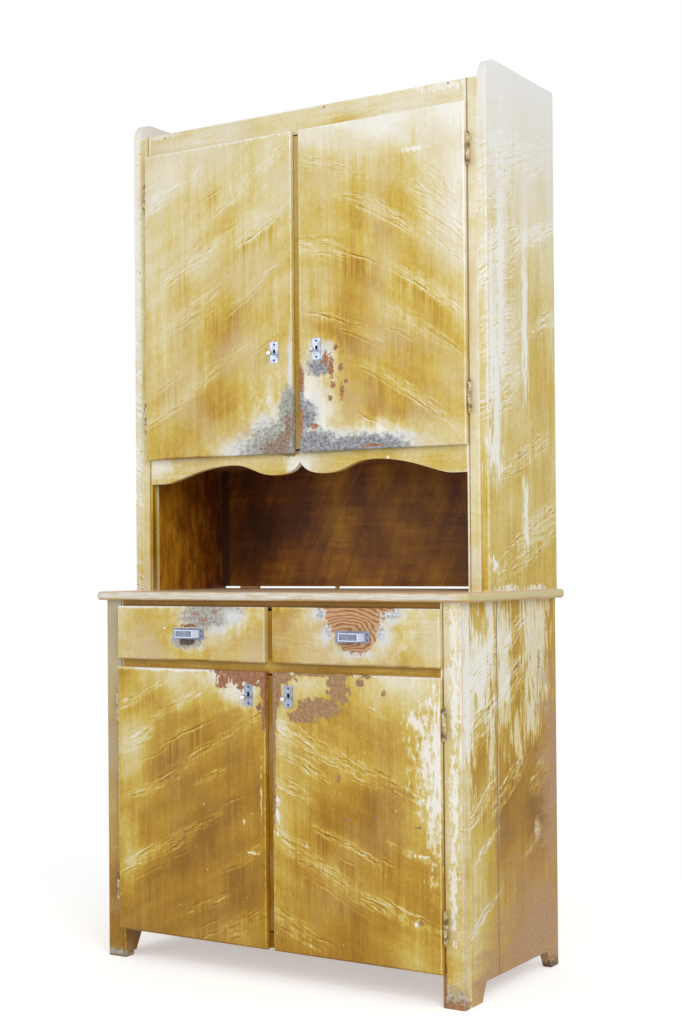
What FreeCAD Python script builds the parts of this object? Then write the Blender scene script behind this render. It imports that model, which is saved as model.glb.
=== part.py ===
"""Two-part kitchen cabinet: a lower case with drawers and doors, and an upper case over an open niche.

All sizes are in millimetres. X runs to the right, Y to the back and Z up. The origin is on the floor,
under the middle of the cabinet's outer box. Each piece is one node, saved as parts/NODE.step.
"""
import FreeCAD
import Part
import os

V = FreeCAD.Vector

# ---- Driving dimensions: lower case ----
lower_width = 940.0
lower_depth = 450.0
worktop_height = 850.0
worktop_thickness = 20.0
worktop_front_overhang = 15.0
worktop_side_overhang = 22.0
worktop_edge_radius = 8.0
worktop_corner_radius = 12.0
side_thickness = 20.0
post_width = 50.0
post_depth = 30.0
rail_depth = 20.0
lower_top_rail_height = 18.0
middle_rail_height = 29.0
bottom_rail_height = 33.0
bottom_rail_floor_gap = 72.0
drawer_opening_height = 112.0
muntin_width = 30.0
muntin_top_gap = 3.5
lower_board_thickness = 18.0
lower_shelf_height = 380.0
lower_shelf_setback = 120.0
lower_back_thickness = 8.0

# Foot cut-outs of the side panels, measured from the front and the back of the case
foot_height = 40.0
front_foot_length = 76.0
back_foot_length = 38.0
foot_slant = 20.0

# ---- Driving dimensions: upper case ----
upper_width = 950.0
upper_depth = 334.0
upper_frame_height = 1087.0
side_rise = 40.0
side_corner_radius = 42.0
stile_width = 30.0
upper_frame_depth = 25.0
upper_top_rail_height = 56.0
niche_height = 300.0
upper_floor_thickness = 16.0
upper_board_thickness = 18.0
roof_drop = 3.0
upper_back_thickness = 16.0
back_side_gap = 3.0
back_floor_slit = 5.0
block_width = 53.0
block_depth = 14.0
block_end_offset = 54.0
spacer_width = 4.0
spacer_end_offset = 341.0

# Valance: heights above the flat ends, and distances from the middle of the cabinet
valance_thickness = 16.0
valance_height = 62.5
valance_flat_start = 387.0
valance_peak_x = 190.0
valance_peak_rise = 37.0
valance_lobe_x = 68.0
valance_lobe_rise = 10.0
valance_cusp_rise = 37.5

# ---- Driving dimensions: doors and drawer fronts ----
front_gap = 20.0
front_thickness = 15.0
front_lip = 5.0
front_edge_radius = 2.5
door_inner_depth = 8.0
bottom_door_drop = 2.0
strip_width = 36.5
strip_side_clearance = 1.5
strip_end_gap = 4.0

# ---- Driving dimensions: hinges ----
hinge_radius = 4.8
hinge_pin_radius = 3.0
hinge_knuckle_length = 36.0
hinge_tip_length = 5.0
hinge_tip_radius = 2.2
hinge_pin_length = 26.0
hinge_edge_offset = 6.0
hinge_leaf_thickness = 2.0
hinge_leaf_height = 26.0
hinge_leaf_bite = 15.0
hinge_leaf_gap = 2.0
lower_hinge_inset = 95.0
upper_hinge_inset = 100.0

# ---- Driving dimensions: latches ----
latch_plate_width = 22.0
latch_plate_height = 48.0
latch_plate_thickness = 1.5
latch_plate_corner = 1.5
latch_travel = 8.0
latch_stem_drop = 3.5
stem_radius = 2.5
knob_radius = 6.5
knob_standoff = 23.0
knob_collar_radius = 4.0
knob_collar_length = 5.0
bolt_width = 12.0
bolt_thickness = 6.0
bolt_tail = 9.0
carriage_width = 14.0
carriage_depth = 13.2
bolt_tip_clearance = 1.5
keeper_depth = 10.0
lower_latch_x = 53.0
lower_latch_drop = 52.0
upper_latch_x = 57.0
upper_latch_height = 229.0

# ---- Driving dimensions: drawers ----
drawer_box_depth = 415.0
drawer_side_height = 90.0
drawer_side_thickness = 12.0
drawer_bottom_thickness = 5.0
drawer_bottom_lift = 8.0
drawer_groove_depth = 6.0
runner_height = 42.0
runner_ledge_thickness = 12.0
runner_ledge_width = 20.0
pull_plate_width = 85.0
pull_plate_height = 25.0
pull_plate_thickness = 1.5
pull_bow_width = 49.0
pull_bow_height = 17.0
pull_bow_reach = 20.0
pull_bow_thickness = 2.0
pull_bow_splay = 6.0
pull_foot_length = 2.0

# ---- Named clearances ----
front_clearance = 0.5
opening_clearance = 2.0
drawer_side_clearance = 2.5
drawer_seat_clearance = 0.3
shelf_door_clearance = 1.0
pin_clearance = 0.05
knuckle_gap = 0.3
stem_clearance = 0.5
bolt_slide_clearance = 0.3
keeper_clearance = 1.0

# ---- Places worked out from the driving dimensions ----
front_reach = front_clearance + front_thickness + knob_standoff + knob_radius
back_y = (lower_depth + front_reach) / 2
lower_front = back_y - lower_depth
upper_front = back_y - upper_depth

lower_half = lower_width / 2
lower_inner = lower_half - side_thickness
lower_opening = lower_half - post_width
lower_case_top = worktop_height - worktop_thickness
drawer_opening_top = lower_case_top - lower_top_rail_height
drawer_opening_bottom = drawer_opening_top - drawer_opening_height
lower_opening_top = drawer_opening_bottom - middle_rail_height
lower_opening_bottom = bottom_rail_floor_gap + bottom_rail_height
lower_back_face = back_y - lower_back_thickness
rail_back = lower_front + rail_depth
post_back = lower_front + post_depth

upper_half = upper_width / 2
upper_inner = upper_half - side_thickness
upper_opening = upper_inner - stile_width
upper_frame_top = worktop_height + upper_frame_height
upper_opening_top = upper_frame_top - upper_top_rail_height
niche_top = worktop_height + niche_height
upper_opening_bottom = niche_top + upper_floor_thickness
upper_back_face = back_y - upper_back_thickness
stile_back = upper_front + upper_frame_depth

lower_latch_z = lower_opening_top + front_lip - lower_latch_drop - latch_stem_drop
upper_latch_z = upper_opening_bottom - front_lip + upper_latch_height - latch_stem_drop
bolt_rise = lower_opening_top - bolt_tip_clearance - lower_latch_z
upper_shelf_bottom = upper_latch_z + bolt_rise + bolt_tip_clearance
bolt_front = door_inner_depth + bolt_slide_clearance + carriage_depth - bolt_thickness

LOWER = {
    "name": "lower",
    "front": lower_front,
    "opening": lower_opening,
    "inner_bottom": lower_opening_bottom + opening_clearance,
    "inner_top": lower_opening_top - opening_clearance,
    "bottom": bottom_rail_floor_gap - bottom_door_drop,
    "top": lower_opening_top + front_lip,
    "hinge_inset": lower_hinge_inset,
    "latch_x": lower_latch_x,
    "latch_z": lower_latch_z,
    "strip_bottom": lower_opening_bottom + strip_end_gap,
    "strip_top": lower_opening_top - strip_end_gap,
}
UPPER = {
    "name": "upper",
    "front": upper_front,
    "opening": upper_opening,
    "inner_bottom": upper_opening_bottom + opening_clearance,
    "inner_top": upper_opening_top - opening_clearance,
    "bottom": upper_opening_bottom - front_lip,
    "top": upper_opening_top + front_lip,
    "hinge_inset": upper_hinge_inset,
    "latch_x": upper_latch_x,
    "latch_z": upper_latch_z,
    "strip_bottom": upper_opening_bottom + strip_end_gap,
    "strip_top": upper_opening_top - strip_end_gap,
}


# ---- Helpers ----
def block(x, y, z):
    """A box from three (low, high) pairs."""
    return Part.makeBox(x[1] - x[0], y[1] - y[0], z[1] - z[0], V(x[0], y[0], z[0]))


def mirrored(shape):
    """The same shape on the other side of the plane x = 0."""
    return shape.mirror(V(0, 0, 0), V(1, 0, 0))


def rounded(shape, radius, chosen):
    """Fillet the edges for which chosen(edge) is true."""
    return shape.makeFillet(radius, [edge for edge in shape.Edges if chosen(edge)])


def lies_at_y(edge, y):
    """True for an edge whose every end has this y."""
    return all(abs(vertex.Y - y) < 1e-6 for vertex in edge.Vertexes)


def is_vertical(edge):
    """True for a straight edge along Z."""
    box = edge.BoundBox
    return box.XLength < 1e-6 and box.YLength < 1e-6


def plate_in_yz(points, x_low, thickness):
    """Extrude an outline of (y, z) points along X."""
    outline = Part.makePolygon([V(x_low, y, z) for y, z in points + points[:1]])
    return Part.Face(outline).extrude(V(thickness, 0, 0))


def vertical_slot(x, z_low, z_high, radius, y_low, y_high):
    """A slot with round ends that runs along Z and is cut along Y."""
    slot = block((x - radius, x + radius), (y_low, y_high), (z_low, z_high))
    for z in (z_low, z_high):
        end = Part.makeCylinder(radius, y_high - y_low, V(x, y_low, z), V(0, 1, 0))
        slot = slot.fuse(end)
    return slot


def notched_board(half_inner, half_opening, front, frame_back, back, z):
    """A board between the side panels whose front passes between the posts or stiles."""
    wide = block((-half_inner, half_inner), (frame_back, back), z)
    narrow = block((-half_opening, half_opening), (front, frame_back), z)
    return wide.fuse(narrow).removeSplitter()


def save(name, shape):
    """Write one node."""
    shape.exportStep("parts/" + name + ".step")
    print(name, "solids", len(shape.Solids), "volume", round(shape.Volume), "valid", shape.isValid())


def save_pair(name, right_shape):
    """Write a right-hand piece and its mirror image."""
    save(name + "_right", right_shape)
    save(name + "_left", mirrored(right_shape))


# ---- Lower case ----
def lower_side():
    """Right side panel: the outline in Y and Z leaves a foot at each end."""
    front_toe = lower_front + front_foot_length
    back_toe = back_y - back_foot_length
    points = [
        (post_back, 0), (front_toe, 0), (front_toe + foot_slant, foot_height),
        (back_toe - foot_slant, foot_height), (back_toe, 0), (back_y, 0),
        (back_y, lower_case_top), (post_back, lower_case_top),
    ]
    return plate_in_yz(points, lower_inner, side_thickness)


def lower_post():
    """Right front corner post, down to the floor."""
    post = block((lower_opening, lower_half), (lower_front, post_back), (0, lower_case_top))
    post = rounded(post, front_edge_radius, lambda edge: is_vertical(edge) and lies_at_y(edge, lower_front)
                   and edge.Vertexes[0].X > lower_opening + 1)
    return post.cut(frame_leaves(LOWER))


def keeper_mortise(case, x_sign, z_bottom):
    """The pocket that a raised bolt enters."""
    x = x_sign * case["latch_x"]
    half = bolt_width / 2 + keeper_clearance
    y_low = case["front"] + bolt_front - keeper_clearance
    y_high = y_low + bolt_thickness + 2 * keeper_clearance
    return block((x - half, x + half), (y_low, y_high), (z_bottom, z_bottom + keeper_depth))


def rail(z_low, z_high):
    """A rail of the lower face frame, between the posts."""
    return block((-lower_opening, lower_opening), (lower_front, rail_back), (z_low, z_high))


def middle_rail():
    """Rail between drawers and doors, with a pocket for each lower bolt."""
    shape = rail(lower_opening_top, drawer_opening_bottom)
    for x_sign in (-1, 1):
        shape = shape.cut(keeper_mortise(LOWER, x_sign, lower_opening_top))
    return shape


def side_runner():
    """Right drawer runner: a guide against the side panel and a ledge under the drawer."""
    top = drawer_opening_bottom
    ledge = block((lower_opening - runner_ledge_width, lower_opening), (rail_back, lower_back_face),
                  (top - runner_ledge_thickness, top))
    guide = block((lower_opening, lower_inner), (post_back, lower_back_face),
                  (top - runner_ledge_thickness, top - runner_ledge_thickness + runner_height))
    return ledge.fuse(guide).removeSplitter()


def middle_runner():
    """Runner between the drawers: a guide behind the muntin and a ledge on each side."""
    top = drawer_opening_bottom
    half = muntin_width / 2
    ledge = block((-half - runner_ledge_width, half + runner_ledge_width), (rail_back, lower_back_face),
                  (top - runner_ledge_thickness, top))
    guide = block((-half, half), (rail_back, lower_back_face),
                  (top, top - runner_ledge_thickness + runner_height))
    return ledge.fuse(guide).removeSplitter()


def worktop():
    """Worktop flush at the back, with round front corners and a rounded edge."""
    half = lower_half + worktop_side_overhang
    front = lower_front - worktop_front_overhang
    slab = block((-half, half), (front, back_y), (lower_case_top, worktop_height))
    slab = rounded(slab, worktop_corner_radius, lambda edge: is_vertical(edge) and lies_at_y(edge, front))

    def is_outer_edge(edge):
        box = edge.BoundBox
        return box.ZLength < 1e-6 and box.YMin < back_y - 1
    return rounded(slab, worktop_edge_radius, is_outer_edge)


def build_lower_case():
    save_pair("lower_side", lower_side())
    save_pair("lower_post", lower_post())
    save("lower_top_rail", rail(drawer_opening_top, lower_case_top))
    save("lower_middle_rail", middle_rail())
    save("lower_bottom_rail", rail(bottom_rail_floor_gap, lower_opening_bottom))
    half = muntin_width / 2
    save("drawer_muntin", block((-half, half), (lower_front, rail_back),
                                (drawer_opening_bottom, drawer_opening_top - muntin_top_gap)))
    save_pair("drawer_runner", side_runner())
    save("drawer_runner_middle", middle_runner())
    floor_z = (lower_opening_bottom - lower_board_thickness, lower_opening_bottom)
    save("lower_floor_board", notched_board(lower_inner, lower_opening, rail_back, post_back,
                                            lower_back_face, floor_z))
    save("lower_shelf", block((-lower_inner, lower_inner),
                              (lower_front + lower_shelf_setback, lower_back_face),
                              (lower_shelf_height, lower_shelf_height + lower_board_thickness)))
    save("lower_back_panel", block((-lower_inner, lower_inner), (lower_back_face, back_y),
                                   (bottom_rail_floor_gap, lower_case_top)))
    save("worktop", worktop())


# ---- Upper case ----
def upper_side():
    """Right side panel: rises above the frame, with a round front top corner."""
    top = upper_frame_top + side_rise
    panel = block((upper_inner, upper_half), (upper_front, back_y), (worktop_height, top))

    def is_top_corner(edge):
        box = edge.BoundBox
        return box.ZLength < 1e-6 and box.ZMin > top - 1 and lies_at_y(edge, upper_front)
    return rounded(panel, side_corner_radius, is_top_corner)


def upper_stile():
    """Right stile of the upper face frame, inside the side panel."""
    stile = block((upper_opening, upper_inner), (upper_front, stile_back), (worktop_height, upper_frame_top))
    return stile.cut(frame_leaves(UPPER))


def upper_shelf():
    """Shelf whose underside has a pocket for each upper bolt."""
    front = upper_front + door_inner_depth + shelf_door_clearance
    shape = notched_board(upper_inner, upper_opening, front, stile_back, upper_back_face,
                          (upper_shelf_bottom, upper_shelf_bottom + upper_board_thickness))
    for x_sign in (-1, 1):
        shape = shape.cut(keeper_mortise(UPPER, x_sign, upper_shelf_bottom))
    return shape


def smooth_curve(start, finish, start_reach, finish_reach):
    """An S from start to finish, level at both ends; each is an (x, z) pair.

    The reaches are the lengths of the level handles, as shares of the curve's width.
    """
    y = upper_front
    width = finish[0] - start[0]
    poles = [V(start[0], y, start[1]), V(start[0] + start_reach * width, y, start[1]),
             V(finish[0] - finish_reach * width, y, finish[1]), V(finish[0], y, finish[1])]
    curve = Part.BezierCurve()
    curve.setPoles(poles)
    return curve.toShape()


def half_valance_edge():
    """The right half of the scalloped edge, from the middle cusp to the flat end."""
    base = upper_opening_bottom - valance_height
    cusp = (0, base + valance_cusp_rise)
    lobe = (valance_lobe_x, base + valance_lobe_rise)
    peak = (valance_peak_x, base + valance_peak_rise)
    flat = (valance_flat_start, base)
    y = upper_front
    cusp_drop = (valance_cusp_rise - valance_lobe_rise) * 0.7
    lobe_curve = Part.BezierCurve()
    lobe_curve.setPoles([V(cusp[0], y, cusp[1]), V(lobe[0] * 0.2, y, cusp[1] - cusp_drop),
                         V(lobe[0] * 0.45, y, lobe[1]), V(lobe[0], y, lobe[1])])
    return [lobe_curve.toShape(), smooth_curve(lobe, peak, 0.45, 0.45), smooth_curve(peak, flat, 0.5, 0.18)]


def valance():
    """Board between the stiles with a wavy lower edge, the same on both sides of the middle."""
    base = upper_opening_bottom - valance_height
    edges = half_valance_edge()
    ends = [V(valance_flat_start, upper_front, base), V(upper_opening, upper_front, base),
            V(upper_opening, upper_front, upper_opening_bottom)]
    edges += [Part.makeLine(ends[0], ends[1]), Part.makeLine(ends[1], ends[2])]
    right = Part.Wire(Part.__sortEdges__(edges))
    left = mirrored(right)
    top = Part.makeLine(V(-upper_opening, upper_front, upper_opening_bottom), ends[2])
    outline = Part.Wire(Part.__sortEdges__(right.Edges + left.Edges + [top]))
    return Part.Face(outline).extrude(V(0, valance_thickness, 0))


def back_blocks(panel_end, slit_top):
    """The block and the thin spacer in the slit, placed from the back panel's left end."""
    blocks = []
    for offset, width in ((block_end_offset, block_width), (spacer_end_offset, spacer_width)):
        x_low = panel_end + offset
        blocks.append(block((x_low, x_low + width), (upper_back_face, upper_back_face + block_depth),
                            (worktop_height, slit_top)))
    return blocks


def build_upper_case():
    save_pair("upper_side", upper_side())
    save_pair("upper_stile", upper_stile())
    save("upper_top_rail", block((-upper_opening, upper_opening), (upper_front, stile_back),
                                 (upper_opening_top, upper_frame_top)))
    roof_top = upper_frame_top - roof_drop
    save("upper_roof_board", block((-upper_inner, upper_inner), (stile_back, upper_back_face),
                                   (roof_top - upper_board_thickness, roof_top)))
    save("upper_floor_board", notched_board(upper_inner, upper_opening, upper_front + valance_thickness,
                                            stile_back, upper_back_face, (niche_top, upper_opening_bottom)))
    save("upper_shelf", upper_shelf())
    save("valance", valance())
    back_half = upper_inner - back_side_gap
    slit_top = worktop_height + back_floor_slit
    save("upper_back_panel", block((-back_half, back_half), (upper_back_face, back_y), (slit_top, roof_top)))
    save("back_blocks", Part.makeCompound(back_blocks(-back_half, slit_top)))


# ---- Hinges ----
def hinge_axis(case):
    """The right-hand hinge axis of a case: x, y and the middle heights of its two hinges."""
    x = case["opening"] + front_lip + hinge_edge_offset
    y = case["front"] - front_clearance - front_thickness / 2
    heights = (case["bottom"] + case["hinge_inset"], case["top"] - case["hinge_inset"])
    return x, y, heights


def knuckle(x, y, z_start, direction):
    """One half of a hinge barrel, which tapers to a round tip at its far end."""
    body_length = hinge_knuckle_length - hinge_tip_length - hinge_tip_radius
    taper_z = z_start + direction * body_length
    ball_z = taper_z + direction * hinge_tip_length
    body = Part.makeCylinder(hinge_radius, body_length, V(x, y, z_start), V(0, 0, direction))
    taper = Part.makeCone(hinge_radius, hinge_tip_radius, hinge_tip_length, V(x, y, taper_z),
                          V(0, 0, direction))
    ball = Part.makeSphere(hinge_tip_radius, V(x, y, ball_z))
    return body.fuse([taper, ball])


def frame_half(x, y, z, front):
    """Lower knuckle with the pin, and a leaf that goes straight back into the stile."""
    lower = knuckle(x, y, z - knuckle_gap / 2, -1)
    pin = Part.makeCylinder(hinge_pin_radius, hinge_pin_length + knuckle_gap, V(x, y, z - knuckle_gap / 2))
    leaf = frame_leaf(x, y, z, front)
    return lower.fuse([pin, leaf]).removeSplitter()


def frame_leaf(x, y, z, front):
    """The leaf of a frame half, from the barrel's axis into the stile."""
    half = hinge_leaf_thickness / 2
    top = z - knuckle_gap / 2 - hinge_leaf_gap
    return block((x - half, x + half), (y, front + hinge_leaf_bite), (top - hinge_leaf_height, top))


def door_half(x, y, z):
    """Upper knuckle with a blind bore for the pin, and a leaf that goes into the door's edge."""
    base = z + knuckle_gap / 2
    upper = knuckle(x, y, base, 1).fuse(door_leaf(x, y, z))
    bore = Part.makeCylinder(hinge_pin_radius + pin_clearance, hinge_pin_length + 1, V(x, y, base - 1))
    return upper.cut(bore).removeSplitter()


def door_leaf(x, y, z):
    """The leaf of a door half, from the barrel's axis into the door's edge."""
    half = hinge_leaf_thickness / 2
    bottom = z + knuckle_gap / 2 + hinge_leaf_gap
    return block((x - hinge_edge_offset - hinge_leaf_bite, x), (y - half, y + half),
                 (bottom, bottom + hinge_leaf_height))


def frame_leaves(case):
    """The leaves that both right-hand hinges of a case send into the stile or post."""
    x, y, heights = hinge_axis(case)
    return [frame_leaf(x, y, z, case["front"]) for z in heights]


def door_leaves(case):
    """The leaves that both right-hand hinges of a case send into the door's edge."""
    x, y, heights = hinge_axis(case)
    return [door_leaf(x, y, z) for z in heights]


# ---- Doors ----
def door_panel(case, inner_start):
    """Right-hand door: a proud plate with a thinner part behind it that fills the opening."""
    front = case["front"] - front_clearance - front_thickness
    back = case["front"] - front_clearance
    outer = case["opening"] + front_lip
    plate = block((front_gap / 2, outer), (front, back), (case["bottom"], case["top"]))
    plate = rounded(plate, front_edge_radius, lambda edge: lies_at_y(edge, front))
    inner = block((inner_start, case["opening"] - opening_clearance),
                  (back, case["front"] + door_inner_depth), (case["inner_bottom"], case["inner_top"]))
    slot_radius = stem_radius + stem_clearance
    slot = vertical_slot(case["latch_x"], case["latch_z"], case["latch_z"] + latch_travel, slot_radius,
                         front - 1, case["front"] + door_inner_depth + 1)
    shape = plate.fuse(inner).cut([slot] + door_leaves(case))
    return shape.removeSplitter()


def closing_strip(case):
    """Strip behind the free edge of a left-hand door, here drawn on the right and mirrored later."""
    inner_edge = strip_side_clearance - front_gap / 2
    back = case["front"] - front_clearance
    return block((inner_edge, inner_edge + strip_width), (back, case["front"] + door_inner_depth),
                 (case["strip_bottom"], case["strip_top"]))


def latch_plate(case):
    """Plate on the door's face, with an upright slot for the stem."""
    face = case["front"] - front_clearance - front_thickness
    x = case["latch_x"]
    middle = case["latch_z"] + latch_stem_drop
    plate = block((x - latch_plate_width / 2, x + latch_plate_width / 2),
                  (face - latch_plate_thickness, face),
                  (middle - latch_plate_height / 2, middle + latch_plate_height / 2))
    plate = rounded(plate, latch_plate_corner, lambda edge: edge.BoundBox.YLength > latch_plate_thickness / 2)
    slot = vertical_slot(x, case["latch_z"], case["latch_z"] + latch_travel, stem_radius + stem_clearance,
                         face - latch_plate_thickness - 1, face + 1)
    return plate.cut(slot)


def latch_knob(case):
    """Ball, collar and stem; the stem ends at the bolt's carriage."""
    face = case["front"] - front_clearance - front_thickness
    x = case["latch_x"]
    z = case["latch_z"]
    ball_y = face - knob_standoff
    ball = Part.makeSphere(knob_radius, V(x, ball_y, z))
    collar = Part.makeCone(stem_radius, knob_collar_radius, knob_collar_length,
                           V(x, ball_y + knob_radius + 1, z), V(0, -1, 0))
    stem_end = case["front"] + door_inner_depth + bolt_slide_clearance
    stem = Part.makeCylinder(stem_radius, stem_end - ball_y, V(x, ball_y, z), V(0, 1, 0))
    return ball.fuse([collar, stem]).removeSplitter()


def latch_bolt(case):
    """Carriage that slides on the door's back, with a tongue that rises from its rear."""
    x = case["latch_x"]
    z = case["latch_z"]
    front = case["front"] + door_inner_depth + bolt_slide_clearance
    back = front + carriage_depth
    carriage = block((x - carriage_width / 2, x + carriage_width / 2), (front, back),
                     (z - bolt_tail, z + bolt_tail))
    tongue = block((x - bolt_width / 2, x + bolt_width / 2), (back - bolt_thickness, back),
                   (z + bolt_tail, z + bolt_rise))
    return carriage.fuse(tongue).removeSplitter()


def build_doors(case):
    """Both doors of a case with their hinges and latches."""
    x, y, heights = hinge_axis(case)
    name = case["name"]
    strip_edge = strip_side_clearance - front_gap / 2 + strip_width
    save(name + "_door_right", door_panel(case, front_gap / 2))
    save(name + "_door_left", mirrored(door_panel(case, strip_edge)))
    save(name + "_closing_strip", mirrored(closing_strip(case)))
    frame_halves = Part.makeCompound([frame_half(x, y, z, case["front"]) for z in heights])
    door_halves = Part.makeCompound([door_half(x, y, z) for z in heights])
    save_pair(name + "_hinge_frame_halves", frame_halves)
    save_pair(name + "_hinge_door_halves", door_halves)
    save_pair(name + "_latch_plate", latch_plate(case))
    save_pair(name + "_latch_knob", latch_knob(case))
    save_pair(name + "_latch_bolt", latch_bolt(case))


# ---- Drawers ----
def drawer_span():
    """The right drawer box's outer x values."""
    return muntin_width / 2 + drawer_side_clearance, lower_opening - drawer_side_clearance


def drawer_front():
    """Right drawer front, lipped over the frame on all sides."""
    face = lower_front - front_clearance - front_thickness
    plate = block((front_gap / 2, lower_opening + front_lip), (face, lower_front - front_clearance),
                  (drawer_opening_bottom - front_lip, drawer_opening_top + front_lip))
    return rounded(plate, front_edge_radius, lambda edge: lies_at_y(edge, face))


def drawer_bottom_space():
    """The bottom panel, which also cuts the grooves that hold it."""
    x_low, x_high = drawer_span()
    inset = drawer_side_thickness - drawer_groove_depth
    start = lower_front - front_clearance
    z = drawer_opening_bottom + drawer_seat_clearance + drawer_bottom_lift
    return block((x_low + inset, x_high - inset), (start, start + drawer_box_depth - inset),
                 (z, z + drawer_bottom_thickness))


def drawer_box():
    """Two sides and a back, open at the front, where the drawer front closes them."""
    x_low, x_high = drawer_span()
    start = lower_front - front_clearance
    z = (drawer_opening_bottom + drawer_seat_clearance,
         drawer_opening_bottom + drawer_seat_clearance + drawer_side_height)
    outer = block((x_low, x_high), (start, start + drawer_box_depth), z)
    hollow = block((x_low + drawer_side_thickness, x_high - drawer_side_thickness),
                   (start - 1, start + drawer_box_depth - drawer_side_thickness), (z[0] - 1, z[1] + 1))
    return outer.cut(hollow).cut(drawer_bottom_space())


def pull():
    """Bow pull: a flat plate with a band that stands off it on two splayed legs."""
    face = lower_front - front_clearance - front_thickness
    x = (front_gap / 2 + lower_opening + front_lip) / 2
    z = (drawer_opening_bottom + drawer_opening_top) / 2
    plate = block((x - pull_plate_width / 2, x + pull_plate_width / 2), (face - pull_plate_thickness, face),
                  (z - pull_plate_height / 2, z + pull_plate_height / 2))
    low_z = z - pull_bow_height / 2
    band_y = face - pull_bow_reach
    foot_y = face - pull_plate_thickness
    half = pull_bow_width / 2
    leg_end = half + pull_bow_splay
    outer = [(half, band_y), (leg_end, foot_y - pull_bow_thickness), (leg_end + pull_foot_length, foot_y)]
    inner = [(leg_end - pull_bow_thickness, foot_y), (half - pull_bow_thickness, band_y + pull_bow_thickness)]
    right = outer + inner
    points = right + [(-across, y) for across, y in right[::-1]]
    outline = Part.makePolygon([V(x + across, y, low_z) for across, y in points + points[:1]])
    band = Part.Face(outline).extrude(V(0, 0, pull_bow_height))
    return plate.fuse(band).removeSplitter()


def build_drawers():
    save_pair("drawer_front", drawer_front())
    save_pair("drawer_box", drawer_box())
    save_pair("drawer_bottom", drawer_bottom_space())
    save_pair("drawer_pull", pull())


os.makedirs("parts", exist_ok=True)
build_lower_case()
build_upper_case()
for this_case in (LOWER, UPPER):
    build_doors(this_case)
build_drawers()
print("nodes", len(os.listdir("parts")))
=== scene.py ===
# %% [markdown]
# A two-part kitchen cabinet in false-grained paint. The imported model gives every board, hinge and latch at
# its real place, so this lesson is about surfaces: how old paint, glaze, bare pine and plated steel are
# built from shader nodes, and how small screws and nails are made from formulas. The frame is loaded first,
# because every size below is read from it.

import math
from functools import partial

import bpy
import numpy as np
from mathutils import Matrix, Vector


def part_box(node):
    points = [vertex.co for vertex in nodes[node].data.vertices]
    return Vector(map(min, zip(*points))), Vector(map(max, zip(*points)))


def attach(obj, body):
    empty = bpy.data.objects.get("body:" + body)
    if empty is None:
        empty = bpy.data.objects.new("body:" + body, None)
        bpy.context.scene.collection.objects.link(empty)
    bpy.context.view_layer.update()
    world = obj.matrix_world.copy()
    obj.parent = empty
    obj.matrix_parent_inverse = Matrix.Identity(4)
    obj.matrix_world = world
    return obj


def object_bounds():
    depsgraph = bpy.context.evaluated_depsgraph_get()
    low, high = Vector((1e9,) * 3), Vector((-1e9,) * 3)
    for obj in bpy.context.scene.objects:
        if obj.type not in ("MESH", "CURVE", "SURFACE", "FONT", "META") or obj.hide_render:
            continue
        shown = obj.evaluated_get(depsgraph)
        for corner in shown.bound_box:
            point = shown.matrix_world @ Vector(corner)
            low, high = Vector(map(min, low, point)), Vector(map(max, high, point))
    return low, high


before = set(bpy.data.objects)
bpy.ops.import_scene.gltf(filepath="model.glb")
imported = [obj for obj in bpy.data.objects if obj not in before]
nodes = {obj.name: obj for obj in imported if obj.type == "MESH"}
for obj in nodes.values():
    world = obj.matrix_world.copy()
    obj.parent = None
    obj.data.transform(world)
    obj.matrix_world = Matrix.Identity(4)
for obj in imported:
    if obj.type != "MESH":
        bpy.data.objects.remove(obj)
cad_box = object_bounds()
MM = 0.001
print("nodes:", len(nodes), " box:", [round(v, 4) for corner in cad_box for v in corner])

# %% [markdown]
# Colours are written as the hex codes that a paint chart gives. Blender works in linear light, so one
# function does the conversion, and every colour in the lesson goes through it.

# %% Colour


def paint(code):
    """sRGB hex to linear light: c / 12.92 under 0.04045, else ((c + 0.055) / 1.055) ** 2.4."""
    channels = [int(code[i:i + 2], 16) / 255 for i in (1, 3, 5)]
    linear = [c / 12.92 if c <= 0.04045 else ((c + 0.055) / 1.055) ** 2.4 for c in channels]
    return (*linear, 1.0)


print("cream in linear light:", [round(c, 3) for c in paint("#E6E3CE")])

# %% [markdown]
# A material is a graph of nodes. Wiring it line by line is slow to read, so one function adds any node: its
# kind (with the operation after a colon), the values or links of its sockets, and its settings. Each tree gets
# its own copy of that function, called add, so the tree is not named again.

# %% One helper for nodes


def add_node(tree, kind, *values, out=0, **settings):
    """Adds one node and gives its output. Values fill the sockets in order, and None leaves one alone.
    A name with a capital is a socket, and one without is a setting."""
    kind, _, operation = kind.partition(":")
    node = tree.nodes.new("ShaderNode" + kind)
    if operation:
        node.operation = operation
    for key, value in settings.items():
        if key[0].islower():
            setattr(node, key, value)
    named = [(key.replace("_", " "), value) for key, value in settings.items() if key[0].isupper()]
    for key, value in [*enumerate(values), *named]:
        if isinstance(value, bpy.types.NodeSocket):
            tree.links.new(value, node.inputs[key])
        elif value is not None:
            node.inputs[key].default_value = value
    return node.outputs[out] if node.outputs else node


def empty_tree(owner):
    """Clears the tree of a material or world, and gives the function that adds nodes to it."""
    owner.use_nodes = True
    owner.node_tree.nodes.clear()
    return partial(add_node, owner.node_tree)


def new_material(name):
    """An empty material, and the function that adds nodes to it."""
    material = bpy.data.materials.new(name)
    return material, empty_tree(material)


def close(add, colour, height=None, depth=0.3 * MM, **shader):
    """Ends a tree in the Principled shader. A height of 1 stands for depth metres."""
    if height is not None:
        shader["Normal"] = add("Bump", Strength=1.0, Distance=depth, Height=height)
    add("OutputMaterial", add("BsdfPrincipled", colour, **shader))


def cover(material, *names):
    """Gives a material to CAD nodes."""
    for name in names:
        slots = nodes[name].material_slots
        if not slots:
            nodes[name].data.materials.append(material)
        for slot in slots:
            slot.material = material


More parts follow.
